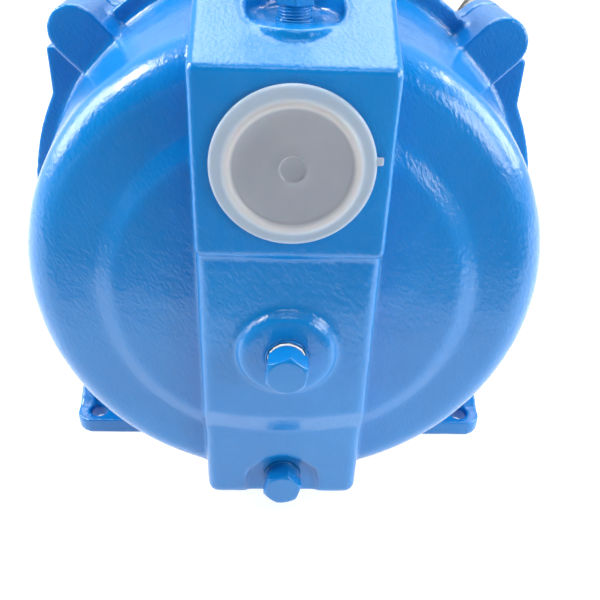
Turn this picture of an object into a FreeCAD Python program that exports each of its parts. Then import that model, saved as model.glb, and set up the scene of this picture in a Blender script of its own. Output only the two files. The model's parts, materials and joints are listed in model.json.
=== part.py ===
import FreeCAD, Part
import os
import re
import Sketcher

# Shallow well jet pump: cast pump end with built-in ejector, and a capacitor motor close-coupled to it.
#
# Drawn with the shaft along Y. In the sheet and in every sub-part, Y is measured back from the face of the
# suction port and Z up from the shaft. Each sub-part's Placement then puts the origin of the finished part on
# the mounting surface, midway between the two front foot bolts.

Vector = FreeCAD.Vector
Rotation = FreeCAD.Rotation

doc = FreeCAD.newDocument("JetPump")

# ---------------------------------------------------------------------------------------------------------
# Driving dimensions, in millimetres and degrees
# ---------------------------------------------------------------------------------------------------------
SIZES = {
    # stance
    "shaft_height": 112, "bolt_line_y": 74.2,
    # round casing
    "wall": 5, "front_y": 18.5, "front_rad": 95.8, "rim_round": 13.4, "mate_y": 100, "draft_rad": 102.6,
    "flange_y": 88, "flange_rad": 109.8, "disc_y": 15.5, "disc_rad": 63.4, "ring_rad": 70.7, "ring_round": 5,
    "mouth_rad": 90,
    # suction block, rib and tower
    "rib_width": 63.5, "rib_y": 3.6, "rib_low_y": 8.4, "step_top": -46, "step_low": -57.2, "step_arc": 134,
    "rib_foot_y": 11.6, "rib_bottom": -97.2, "rib_round": 4.5, "block_round": 2.5, "port_z": 58.65,
    "block_top": 88.55, "block_bottom": 25.85, "slope": 28, "tower_top": 116, "tower_back": 94,
    "outlet_y": 70, "outlet_rad": 28, "outlet_top": 122, "channel_back": 53, "channel_bottom": -24,
    # threaded ports, as plain bores at the mean thread radius
    "suction_rad": 20.6, "outlet_bore": 16.3, "quarter_rad": 6.7, "eighth_rad": 4.9,
    # plugs and their bosses
    "pad_z": -14.2, "pad_rad": 18.2, "pad_face": -0.6, "pad_round": 3.6, "drain_z": -86.8, "pocket_rad": 15.3,
    "pocket_z": -89, "pocket_y": 13.6, "drain_boss": 12, "vent_y": 24.5, "vent_rad": 15, "vent_top": 97,
    "hex_quarter": 14.29, "hex_eighth": 11.11, "plug_head": 7.9, "drain_head": 4.8, "mid_gap": 3.4,
    "drain_gap": 5,
    "vent_gap": 4.6,
    # ears and feet
    "ear_pitch": 113.8, "ear_half": 10, "ear_y": 72, "shoulder_x": 96.4, "shoulder_z": 71.3,
    "tap_rad": 4.3, "tap_depth": 22, "foot_half": 102.4, "foot_front": 66, "foot_thick": 8, "foot_bolt": 91.8,
    "foot_hole": 4.3, "foot_round": 8, "web_thick": 8,
    # caps
    "cap_rad": 25.9, "cap_thick": 2.4, "cap_disc": 19.4, "cap_skirt": 20.1, "cap_depth": 14,
    "top_cap_rad": 21.5, "top_cap_skirt": 15.8,
    # ejector and impeller
    "nozzle_tip": 44, "venturi_rad": 13.6, "diffuser_y": 80, "diffuser_rad": 82, "impeller_rad": 62,
    "impeller_y": 87, "impeller_back": 99, "eye_rad": 12.4, "diffuser_screw_pitch": 74,
    # bracket
    "gasket": 0.8, "bracket_back": 112, "lantern_rad": 66, "lantern_end": 150, "bracket_end": 160,
    "bracket_rad": 82, "bracket_pitch": 74, "recess_rad": 24, "hub_rad": 28, "hub_back": 124,
    "seat_y": 113, "seat_back": 121, "seat_rad": 16, "shaft_hole": 10, "spring_start": 102.4,
    "spring_rad": 11.6, "spring_pitch": 1.75, "wire_rad": 0.55,
    # shaft and bearings
    "shaft_rad": 8, "journal_rad": 8.5, "front_bearing": 166, "rear_bearing": 330, "bearing_wide": 12,
    "bearing_rad": 20, "bearing_bore": 8.5, "ball_pitch": 14.25, "ball_rad": 3.2, "ball_gap": 0.3,
    # motor
    "bell_front": 160, "bell_back": 186, "shell_rad": 76, "shell_thick": 2, "shell_back": 318,
    "core_front": 206, "core_back": 286, "core_rad": 73.8, "core_bore": 41, "rotor_rad": 40.5,
    "winding_long": 22, "rod_pitch": 69.5, "rear_bell_back": 346, "fan_y": 354, "fan_rad": 62,
    "cowl_front": 338, "cowl_back": 386, "cowl_thick": 1.6, "shaft_end": 374, "rotor_bar_pitch": 36,
    # terminal box
    "box_y": 214, "box_long": 92, "box_half": 42, "box_top": 122, "box_wall": 3, "box_round": 8,
    "post_rad": 5.4, "post_inset": 8, "cover_top": 128.5, "capacitor_rad": 17.5, "capacitor_long": 60,
    "gland_y": 260, "gland_z": 98, "gland_bore": 4.6,
    # rear foot
    "rear_foot_y": 289, "rear_foot_long": 27, "rear_foot_half": 75, "rear_foot_thick": 4, "rear_slot": 60,
    "riser_x": 42, "foot_screw_x": 14,
}

sheet = doc.addObject("Spreadsheet::Sheet", "Sizes")
for row, (alias, value) in enumerate(SIZES.items(), start=1):
    sheet.set(f"A{row}", alias.replace("_", " "))
    sheet.set(f"B{row}", str(value))
    sheet.setAlias(f"B{row}", alias)
doc.recompute()

FUNCTIONS = {"sqrt", "cos", "sin", "tan"}


def bound(text):
    """An expression over the sheet's aliases, as the expression engine wants it written."""
    def owner(found):
        word = found.group(0)
        return word if word in FUNCTIONS else "Sizes." + word
    return re.sub(r"[a-z]\w*", owner, str(text))


def number(text):
    """The present value of an expression over the sheet's aliases."""
    return float(sheet.evalExpression(bound(text)))


def drive(item, **properties):
    """Bind properties of an object to expressions over the sheet."""
    for name, text in properties.items():
        item.setExpression(name, bound(text))
    return item


# ---------------------------------------------------------------------------------------------------------
# Plain solids, standing along Y unless told otherwise
# ---------------------------------------------------------------------------------------------------------
ALONG = {
    "X": Rotation(Vector(0, 1, 0), 90),
    "Y": Rotation(Vector(1, 0, 0), -90),
    "-Y": Rotation(Vector(1, 0, 0), 90),
    "-X": Rotation(Vector(0, 1, 0), -90),
    "-Z": Rotation(Vector(1, 0, 0), 180),
    "Z": Rotation(),
}


def put(item, x="0", y="0", z="0", along="Z"):
    """Place an object by expressions, its own Z axis lying along the named direction."""
    item.Placement = FreeCAD.Placement(Vector(), ALONG[along] if isinstance(along, str) else along)
    for axis, text in zip("xyz", (x, y, z)):
        item.setExpression(f"Placement.Base.{axis}", bound(text))
    return item


def rod(radius, length, x="0", y="0", z="0", along="Y"):
    cylinder = drive(doc.addObject("Part::Cylinder", "Rod"), Radius=radius, Height=length)
    return put(cylinder, x, y, z, along)


def cone(start, end, length, x="0", y="0", z="0", along="Y"):
    item = drive(doc.addObject("Part::Cone", "Cone"), Radius1=start, Radius2=end, Height=length)
    return put(item, x, y, z, along)


def block(wide, deep, high, x="0", y="0", z="0"):
    item = drive(doc.addObject("Part::Box", "Block"), Length=wide, Width=deep, Height=high)
    return put(item, x, y, z)


def hexagon(flats, length, x="0", y="0", z="0", along="Y"):
    prism = doc.addObject("Part::Prism", "Hexagon")
    prism.Polygon = 6
    drive(prism, Circumradius=f"({flats}) / sqrt(3)", Height=length)
    return put(prism, x, y, z, along)


def ball(radius, x="0", y="0", z="0"):
    return put(drive(doc.addObject("Part::Sphere", "Ball"), Radius=radius), x, y, z)


def join(*items):
    fuse = doc.addObject("Part::MultiFuse", "Join")
    fuse.Shapes = list(items)
    fuse.Refine = True
    return fuse


def cut(base, *tools):
    result = doc.addObject("Part::Cut", "Cut")
    result.Base = base
    result.Tool = tools[0] if len(tools) == 1 else join(*tools)
    return result


def common(*items):
    result = doc.addObject("Part::MultiCommon", "Common")
    result.Shapes = list(items)
    return result


def group(items):
    """Separate solids of one kind, kept apart in one compound."""
    compound = doc.addObject("Part::Compound", "Group")
    compound.Links = list(items)
    return compound


EAR_ANGLES = (45, 135, 225, 315)
CROSS_ANGLES = (0, 90, 180, 270)
SCREW_ANGLES = (90, 210, 330)


def spread(make, angles):
    """One solid at each angle about the shaft, measured from +X towards +Z."""
    return [make(f"cos({angle})", f"sin({angle})") for angle in angles]


def pin_circle(pitch, angles, radius, length, y):
    """Rods parallel to the shaft, one at each angle on a circle of radius pitch."""
    return spread(lambda c, s: rod(radius, length, x=f"({pitch}) * {c}", y=y, z=f"({pitch}) * {s}"), angles)


# ---------------------------------------------------------------------------------------------------------
# Sketched bodies
# ---------------------------------------------------------------------------------------------------------
def sketch_on(body, role, offset="0"):
    """An empty sketch on one of the body's origin planes, moved along the plane's normal."""
    sketch = body.newObject("Sketcher::SketchObject", "Sketch")
    plane = next(item for item in body.Origin.OriginFeatures if item.Role == role)
    sketch.AttachmentSupport = [(plane, "")]
    sketch.MapMode = "FlatFace"
    sketch.setExpression("AttachmentOffset.Base.z", bound(offset))
    return sketch


def fix_point(sketch, geometry, position, x, y):
    """Hold one point of a sketch at driven distances from the sketch's origin."""
    for kind, text in (("DistanceX", x), ("DistanceY", y)):
        constraint = Sketcher.Constraint(kind, -1, 1, geometry, position, number(text))
        index = sketch.addConstraint(constraint)
        sketch.setExpression(f"Constraints[{index}]", bound(text))


def polygon(sketch, points):
    """A closed outline of straight lines through driven points."""
    corners = [Vector(number(x), number(y), 0) for x, y in points]
    first = sketch.GeometryCount
    for index, corner in enumerate(corners):
        following = corners[(index + 1) % len(corners)]
        sketch.addGeometry(Part.LineSegment(corner, following), False)
    for index in range(len(corners)):
        following = first + (index + 1) % len(corners)
        sketch.addConstraint(Sketcher.Constraint("Coincident", first + index, 2, following, 1))
    for index, (x, y) in enumerate(points):
        fix_point(sketch, first + index, 1, x, y)
    return sketch


def circle(sketch, x, y, radius):
    centre = Vector(number(x), number(y), 0)
    index = sketch.addGeometry(Part.Circle(centre, Vector(0, 0, 1), number(radius)), False)
    fix_point(sketch, index, 3, x, y)
    constraint = sketch.addConstraint(Sketcher.Constraint("Radius", index, number(radius)))
    sketch.setExpression(f"Constraints[{constraint}]", bound(radius))
    return sketch


def turn(body, points, kind="Revolution"):
    """Add (or, as a Groove, cut away) an outline of (Y, radius) points turned about the shaft."""
    profile = polygon(sketch_on(body, "YZ_Plane"), points)
    feature = body.newObject("PartDesign::" + kind, kind)
    feature.Profile = profile
    feature.ReferenceAxis = (profile, ["H_Axis"])
    feature.Angle = 360
    return feature


def extrude(body, profile, length, kind="Pad", both=False, backwards=False):
    feature = body.newObject("PartDesign::" + kind, kind)
    feature.Profile = profile
    drive(feature, Length=length)
    feature.SideType = "Symmetric" if both else "One side"
    feature.Reversed = backwards
    return feature


def round_edges(body, feature, wanted, radius):
    """Round the edges of a feature's shape that the wanted test picks."""
    doc.recompute()
    names = [f"Edge{index}" for index, edge in enumerate(feature.Shape.Edges, start=1) if wanted(edge)]
    fillet = body.newObject("PartDesign::Fillet", "Fillet")
    fillet.Base = (feature, names)
    drive(fillet, Radius=radius)
    doc.recompute()
    return fillet


def cut_through(body, profile, length):
    """A pocket whose effect is checked: it has to take material away."""
    doc.recompute()
    before = body.Shape.Volume
    feature = extrude(body, profile, length, kind="Pocket")
    doc.recompute()
    if body.Shape.Volume > before - 1:
        raise RuntimeError(f"{feature.Name} cuts nothing")
    return feature


def new_body():
    return doc.addObject("PartDesign::Body", "Body")


def repeat_round(body, features, count):
    """Repeat features evenly about the shaft."""
    pattern = body.newObject("PartDesign::PolarPattern", "Pattern")
    pattern.Originals = features
    pattern.Axis = (next(item for item in body.Origin.OriginFeatures if item.Role == "Y_Axis"), [""])
    pattern.Angle = 360
    pattern.Occurrences = count
    body.Tip = pattern
    return pattern


def rectangle(sketch, left, right, low, high):
    return polygon(sketch, [(left, low), (right, low), (right, high), (left, high)])


def turned(points):
    """A body that is one outline of (Y, radius) points turned about the shaft."""
    body = new_body()
    turn(body, points)
    return body


def ring(inner, outer, front, back):
    return turned([(front, inner), (front, outer), (back, outer), (back, inner)])


# ---------------------------------------------------------------------------------------------------------
# The sub-parts: each is named once, and placed in the finished part's frame
# ---------------------------------------------------------------------------------------------------------
nodes = {}


def name_part(item, label):
    """Give a finished sub-part its name and move it from the shaft's frame into the part's own."""
    item.Label = label
    item.Placement.Base = Vector()
    item.setExpression("Placement.Base.y", bound("-bolt_line_y"))
    item.setExpression("Placement.Base.z", bound("shaft_height"))
    nodes[label] = item


def spans(edge, axis):
    """The edge's lowest and highest coordinate along X (0), Y (1) or Z (2)."""
    box = edge.BoundBox
    return ((box.XMin, box.XMax), (box.YMin, box.YMax), (box.ZMin, box.ZMax))[axis]


def lies_at(edge, axis, place):
    low, high = spans(edge, axis)
    return abs(low - place) < 0.05 and abs(high - place) < 0.05


def radius_of(edge):
    return edge.Curve.Radius if isinstance(edge.Curve, Part.Circle) else 0


def casing_round_body(body):
    """The round outside of the casing with its raised disc, soft front rim and rear flange."""
    outside = turn(body, [
        ("disc_y", "0"), ("disc_y", "disc_rad"), ("front_y", "ring_rad"), ("front_y", "front_rad"),
        ("flange_y", "draft_rad"), ("flange_y", "flange_rad"), ("mate_y", "flange_rad"), ("mate_y", "0"),
    ])

    def on_rim(edge):
        return abs(radius_of(edge) - number("front_rad")) < 0.1
    rim = round_edges(body, outside, on_rim, "rim_round")

    def on_ring(edge):
        return min(abs(radius_of(edge) - number(name)) for name in ("disc_rad", "ring_rad")) < 0.1
    return round_edges(body, rim, on_ring, "ring_round")


def casing_ears(body):
    """Four bolt ears at 45 degrees, round-tipped and standing forward of the flange."""
    ear = sketch_on(body, "XZ_Plane", "-ear_y")
    reach = "ear_pitch * cos(45)"
    side = "ear_half * cos(45)"
    polygon(ear, [
        (f"{reach} + {side}", f"{reach} - {side}"), (f"{reach} - {side}", f"{reach} + {side}"),
        ("50 - " + side, "50 + " + side), ("50 + " + side, "50 - " + side),
    ])
    arm = extrude(body, ear, "mate_y - ear_y", backwards=True)
    tip = circle(sketch_on(body, "XZ_Plane", "-ear_y"), reach, reach, "ear_half")
    end = extrude(body, tip, "mate_y - ear_y", backwards=True)
    return repeat_round(body, [arm, end], 4)


def casing_flange_and_feet(body):
    """Square shoulders on the flange, and the foot plate with its side webs."""
    shoulders = polygon(sketch_on(body, "XZ_Plane", "-flange_y"), [
        ("-shoulder_x", "-shoulder_z"), ("shoulder_x", "-shoulder_z"),
        ("shoulder_x", "shoulder_z"), ("-shoulder_x", "shoulder_z"),
    ])
    extrude(body, shoulders, "mate_y - flange_y", backwards=True)
    plate = polygon(sketch_on(body, "XY_Plane", "-shaft_height"), [
        ("-foot_half", "foot_front"), ("foot_half", "foot_front"), ("foot_half", "mate_y"),
        ("-foot_half", "mate_y"),
    ])
    foot = extrude(body, plate, "foot_thick")

    def front_corner(edge):
        low, high = spans(edge, 2)
        at_front = lies_at(edge, 1, number("foot_front"))
        return at_front and high - low > 1 and high < number("foot_thick - shaft_height") + 0.1
    round_edges(body, foot, front_corner, "foot_round")
    for side in ("", "-"):
        offset = "foot_half - web_thick" if side == "" else "-foot_half"
        web = polygon(sketch_on(body, "YZ_Plane", offset), [
            ("foot_front + 9", "foot_thick - shaft_height - 1"),
            ("flange_y", "foot_thick - shaft_height + 8"), ("flange_y + 2", "-shoulder_z + 4"),
            ("mate_y", "-shoulder_z + 4"),
            ("mate_y", "foot_thick - shaft_height - 1"),
        ])
        extrude(body, web, "web_thick")
    legs = polygon(sketch_on(body, "XZ_Plane", "-flange_y"), [
        ("-foot_half", "1 - shaft_height"), ("foot_half", "1 - shaft_height"),
        ("foot_half", "-shoulder_z"), ("-foot_half", "-shoulder_z"),
    ])
    return extrude(body, legs, "mate_y - flange_y", backwards=True)


def rib_part(points, wanted):
    """A length of the rib, from its outline seen from the side, with the wanted edges rounded."""
    body = new_body()
    part = extrude(body, polygon(sketch_on(body, "YZ_Plane"), points), "rib_width", both=True)
    round_edges(body, part, wanted, "rib_round")
    return body


def casing_rib():
    """The rib down the front. Its lower part is set back by a slope that arches across it, and leans back."""
    def on_front(edge):
        left, right = spans(edge, 0)
        return right - left < 0.1 and spans(edge, 1)[1] < number("rib_foot_y") + 0.1

    def front_or_bottom(edge):
        return on_front(edge) or lies_at(edge, 2, number("rib_bottom")) and spans(edge, 1)[0] < 39
    top = "block_bottom + 12"
    upper = rib_part([("rib_y", top), ("rib_y", "step_low - 8"), ("40", "step_low - 8"), ("40", top)],
                     on_front)
    lower = rib_part([("rib_low_y", top), ("rib_low_y", "step_low"), ("rib_foot_y", "rib_bottom"),
                      ("40", "rib_bottom"), ("40", top)], front_or_bottom)
    rate = "(step_top - step_low) / (rib_low_y - rib_y)"
    arch = cone("step_arc - 10 * " + rate, "step_arc + 40 * " + rate, "50", y="rib_y - 10",
                z="step_top + step_arc")
    return join(common(upper, arch), lower)


def casing_tower():
    """The square suction block with the slope that rises from it to the outlet tower."""
    body = new_body()
    knee = "(tower_top - block_top) * cos(slope) / sin(slope)"
    side = polygon(sketch_on(body, "YZ_Plane"), [
        ("0", "block_bottom"), ("0", "block_top"), (knee, "tower_top"), ("tower_back", "tower_top"),
        ("tower_back", "60"), ("40", "block_bottom"),
    ])
    tower = extrude(body, side, "rib_width", both=True)

    def outer_edge(edge):
        at_front = lies_at(edge, 1, 0)
        above = spans(edge, 2)[0] > number("block_top") - 0.05
        below = lies_at(edge, 2, number("block_bottom")) and spans(edge, 1)[0] < 39
        return at_front or above or below
    round_edges(body, tower, outer_edge, "block_round")
    return body


def plug_pad():
    """The round pad under the middle plug, standing proud of the rib with a rounded rim."""
    body = new_body()
    turn(body, [("pad_face", "0"), ("pad_face", "pad_rad"), ("rib_low_y", "pad_rad"), ("rib_low_y", "0")])
    doc.recompute()

    def rim(edge):
        return lies_at(edge, 1, number("pad_face")) and radius_of(edge) > 1
    round_edges(body, body.Tip, rim, "pad_round")
    return put(body, z="pad_z")


def extruded_box(width, points):
    """An outline in the plane of the shaft and the vertical, pushed out evenly to both sides."""
    body = new_body()
    extrude(body, polygon(sketch_on(body, "YZ_Plane"), points), width, both=True)
    return body


def pump_casing():
    """The casing: the outside is joined first, then opened out, given its channels and bored."""
    round_body = new_body()
    casing_round_body(round_body)
    casing_ears(round_body)
    casing_flange_and_feet(round_body)
    vent_boss = rod("vent_rad", "20", y="vent_y", z="vent_top - 20", along="Z")
    vent_clear = rod("vent_rad", "40", y="vent_y", z="vent_top", along="Z")
    tower = join(cut(casing_tower(), vent_clear), vent_boss)
    outside = join(
        round_body, casing_rib(), tower, plug_pad(),
        rod("outlet_rad", "outlet_top - tower_top + 4", y="outlet_y", z="tower_top - 4", along="Z"),
        rod("drain_boss", "36 - pocket_y", y="pocket_y", z="drain_z"),
    )
    chamber = turned([
        ("front_y + wall", "0"), ("front_y + wall", "front_rad - wall - 9"),
        ("front_y + wall + 9", "front_rad - wall - 0.5"), ("flange_y", "mouth_rad + 2"),
        ("mate_y + 1", "mouth_rad + 2"), ("mate_y + 1", "0"),
    ])
    channel = extruded_box("rib_width - 1", [
        ("front_y", "channel_bottom"), ("front_y", "block_top"), ("channel_back", "block_top"),
        ("channel_back", "channel_bottom"),
    ])
    shell = join(cut(outside, chamber), channel)
    passages = [
        extruded_box("46", [("28", "-18"), ("28", "82"), ("channel_back - wall", "82"),
                            ("channel_back - wall", "-18")]),
        extruded_box("36", [("rib_low_y + wall", "-60"), ("rib_low_y + wall", "14"), ("21", "14"),
                            ("21", "-60")]),
        extruded_box("36", [("rib_low_y + wall", "-70"), ("rib_low_y + wall", "-58"), ("40", "-58"),
                            ("40", "-70")]),
        extruded_box("2 * pocket_rad", [("-2", "pocket_z"), ("-2", "rib_bottom - 5"),
                                        ("pocket_y", "rib_bottom - 5"), ("pocket_y", "pocket_z")]),
        rod("pocket_rad", "pocket_y + 2", y="-2", z="pocket_z"),
        rod("suction_rad", "32", y="-2", z="port_z"),
        rod("quarter_rad", "18", y="-3", z="pad_z"),
        rod("quarter_rad", "16", y="pocket_y - 1", z="drain_z"),
        rod("8.6", "10", y="20"),
        rod("venturi_rad + 0.1", "wall + 2", y="channel_back - wall - 1"),
        rod("outlet_bore", "outlet_top - 79", y="outlet_y", z="80", along="Z"),
        rod("eighth_rad", "vent_top - 79", y="vent_y", z="80", along="Z"),
    ]
    for side in ("", "-"):
        passages.append(rod("foot_hole", "foot_thick + 2", x=side + "foot_bolt", y="bolt_line_y",
                            z="-shaft_height - 1", along="Z"))
    passages += pin_circle("ear_pitch", EAR_ANGLES, "tap_rad", "tap_depth + 1", "mate_y - tap_depth")
    name_part(cut(shell, *passages), "pump_casing")


# ---------------------------------------------------------------------------------------------------------
# Plugs, tape and caps
# ---------------------------------------------------------------------------------------------------------
def hex_head(flats, high, x="0", y="0", z="0", along="Z", twist=0):
    """A hexagon chamfered at its start, as bolt and plug heads are."""
    prism = hexagon(flats, high, along="Z")
    bevel = cone(f"0.47 * {flats}", f"0.47 * {flats} + 1.73 * ({high})", high, along="Z")
    direction = ALONG[along].multiply(Rotation(Vector(0, 0, 1), twist))
    return put(common(prism, bevel), x, y, z, direction)


def front_plug(label, high, face, z, gap, depth, twist):
    """A hexagon-headed pipe plug screwed in from the front, its head standing off the boss."""
    head = hex_head("hex_quarter", high, y=f"{face} - ({gap}) - {high}", z=z, along="Y", twist=twist)
    thread = rod("quarter_rad - 0.05", f"{depth} + {gap}", y=f"{face} - ({gap})", z=z)
    name_part(join(head, thread), label)


def plugs():
    front_plug("nozzle_access_plug", "plug_head", "pad_face", "pad_z", "mid_gap", "9", 38)
    front_plug("drain_plug", "drain_head", "pocket_y", "drain_z", "drain_gap", "10", 45)
    head = hex_head("hex_eighth", "6.5", y="vent_y", z="vent_top + vent_gap + 6.5", along="-Z", twist=30)
    thread = rod("eighth_rad - 0.05", "vent_gap + 9", y="vent_y", z="vent_top - 9", along="Z")
    name_part(join(head, thread), "vent_plug")
    tapes = []
    for face, z, gap in (("pad_face", "pad_z", "mid_gap"), ("pocket_y", "drain_z", "drain_gap")):
        tape = ring("quarter_rad", "quarter_rad + 0.5", "0.1", f"{gap} - 0.1")
        tapes.append(put(tape, y=f"{face} - {gap}", z=z))
    name_part(group(tapes), "thread_seal_tape")


def port_cap(outer, disc, skirt, depth):
    """A push-in cap, its closed face at Y below 0 and its hollow skirt reaching in past 0."""
    return turned([
        ("-cap_thick", "0"), ("-cap_thick", f"{disc} - 0.8"), ("-cap_thick - 0.7", f"{disc} - 0.2"),
        ("-cap_thick - 0.7", f"{disc} + 0.8"), ("-cap_thick", f"{disc} + 1.6"),
        ("-cap_thick", f"{outer} - 1.2"), ("-cap_thick + 0.8", outer), ("-0.05", outer), ("-0.05", skirt),
        (depth, f"{skirt} - 0.5"), (depth, f"{skirt} - 1.9"), ("-0.8", f"{skirt} - 1.5"), ("-0.8", "0"),
    ])


def caps():
    front = put(port_cap("cap_rad", "cap_disc", "cap_skirt", "cap_depth"), z="port_z")
    nib = block("2.2", "1.6", "2.4", x="cap_rad - 0.4", y="-1.8", z="port_z + 1.6")
    name_part(join(front, nib), "suction_cap")
    top = port_cap("top_cap_rad", "top_cap_skirt - 1", "top_cap_skirt", "cap_depth")
    down = Rotation(Vector(1, 0, 0), -90)
    name_part(group([put(top, y="outlet_y", z="outlet_top", along=down)]), "discharge_cap")


# ---------------------------------------------------------------------------------------------------------
# Ejector, diffuser and impeller
# ---------------------------------------------------------------------------------------------------------
def torus(major, minor, y):
    item = drive(doc.addObject("Part::Torus", "Torus"), Radius1=major, Radius2=minor)
    return put(item, y=y, along="Y")


def ejector():
    """Nozzle in the wall behind the feed channel, and the venturi tube that faces it across the chamber."""
    name_part(turned([
        ("20.5", "6.6"), ("20.5", "8.5"), ("29.1", "8.5"), ("29.1", "11.5"), ("32", "11.5"), ("32", "9"),
        ("nozzle_tip - 1", "5.4"), ("nozzle_tip", "5"), ("nozzle_tip", "3.4"), ("nozzle_tip - 4", "3.4"),
    ]), "nozzle")
    name_part(ring("8.7", "11.4", "28.05", "29.05"), "nozzle_washer")
    tube = turned([
        ("47", "11.4"), ("47", "venturi_rad"), ("49.4", "venturi_rad"), ("49.4", "12.2"), ("51.2", "12.2"),
        ("51.2", "venturi_rad"), ("channel_back + 0.1", "venturi_rad"), ("channel_back + 0.1", "17"),
        ("channel_back + 3", "17"), ("channel_back + 3", "10.4"), ("diffuser_y - 8", "11.6"),
        ("diffuser_y - 4", "13.5"), ("diffuser_y - 2.8", "13.5"), ("diffuser_y - 2.8", "12.2"),
        ("diffuser_y - 1", "12.2"), ("diffuser_y - 1", "13.5"), ("diffuser_y + 1", "13.5"),
        ("diffuser_y + 1", "9.6"), ("60", "6"), ("57", "6"),
    ])
    name_part(tube, "venturi_tube")
    name_part(group([torus("12.9", "0.6", y) for y in ("50.3", "diffuser_y - 1.9")]), "venturi_o_rings")


def diffuser():
    """A ring of guide vanes on a plate in front of the impeller, screwed back against the bracket."""
    body = new_body()
    turn(body, [
        ("diffuser_y - 6", "13.7"), ("diffuser_y - 6", "17"), ("diffuser_y", "19"),
        ("diffuser_y", "diffuser_rad"), ("diffuser_y + 3", "diffuser_rad"), ("diffuser_y + 3", "12.5"),
        ("diffuser_y + 1.2", "12.5"), ("diffuser_y + 1.2", "13.7"),
    ])
    vane = polygon(sketch_on(body, "XZ_Plane", "-(diffuser_y + 2)"), [
        ("impeller_rad + 2", "0"), ("impeller_rad + 6", "-2"), ("diffuser_rad - 4", "18"),
        ("diffuser_rad - 7", "19"),
    ])
    blade = extrude(body, vane, "mate_y + gasket - diffuser_y - 2.1", backwards=True)
    repeat_round(body, [blade], 9)
    circle_of_screws = ("diffuser_screw_pitch", SCREW_ANGLES)
    lugs = pin_circle(*circle_of_screws, "4.5", "mate_y + gasket - diffuser_y - 2.1", "diffuser_y + 2")
    holes = pin_circle(*circle_of_screws, "2.2", "30", "diffuser_y - 1")
    name_part(cut(join(body, *lugs), *holes), "diffuser")
    heads = pin_circle(*circle_of_screws, "4", "2.6", "diffuser_y - 2.65")
    shanks = pin_circle(*circle_of_screws, "2.1", "26", "diffuser_y - 0.1")
    name_part(group([join(head, shank) for head, shank in zip(heads, shanks)]), "diffuser_screws")
    name_part(ring("15.4", "19", "diffuser_y + 3.05", "diffuser_y + 5.5"), "impeller_eye_ring")


def impeller():
    """A closed impeller: an eye neck, two shrouds and six vanes swept back between them."""
    body = new_body()
    turn(body, [
        ("impeller_back - 2", "8.05"), ("impeller_back - 2", "impeller_rad"),
        ("impeller_back", "impeller_rad"), ("impeller_back", "14"), ("impeller_back + 2.6", "14"),
        ("impeller_back + 2.6", "8.05"),
    ])
    turn(body, [
        ("diffuser_y + 3.6", "eye_rad"), ("diffuser_y + 3.6", "15"), ("impeller_y", "15"),
        ("impeller_y", "impeller_rad"), ("impeller_y + 2", "impeller_rad"), ("impeller_y + 2", "eye_rad"),
    ])
    sketch = polygon(sketch_on(body, "XZ_Plane", "-(impeller_y + 1)"), [
        ("13", "-1"), ("30", "-8"), ("46", "-22"), ("53", "-31"), ("55", "-28"), ("48", "-18"), ("31", "-4"),
        ("13", "2"),
    ])
    vane = extrude(body, sketch, "impeller_back - impeller_y - 2", backwards=True)
    repeat_round(body, [vane], 6)
    name_part(body, "impeller")
    nut = cut(hex_head("13", "6", y="impeller_back - 8.2", along="Y"),
              rod("4.05", "8", y="impeller_back - 9"))
    name_part(nut, "impeller_nut")


# ---------------------------------------------------------------------------------------------------------
# Bracket, its bolts and the shaft seal
# ---------------------------------------------------------------------------------------------------------
def bolt(flats, head_high, shank, long, x, y, z):
    """A bolt put in from behind: its shank runs forward from Y and its head stands back from it."""
    head = hex_head(flats, head_high, x=x, y=f"{y} + {head_high}", z=z, along="-Y")
    return join(head, rod(shank, long, x=x, y=f"{y} - {long}", z=z))


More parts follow.
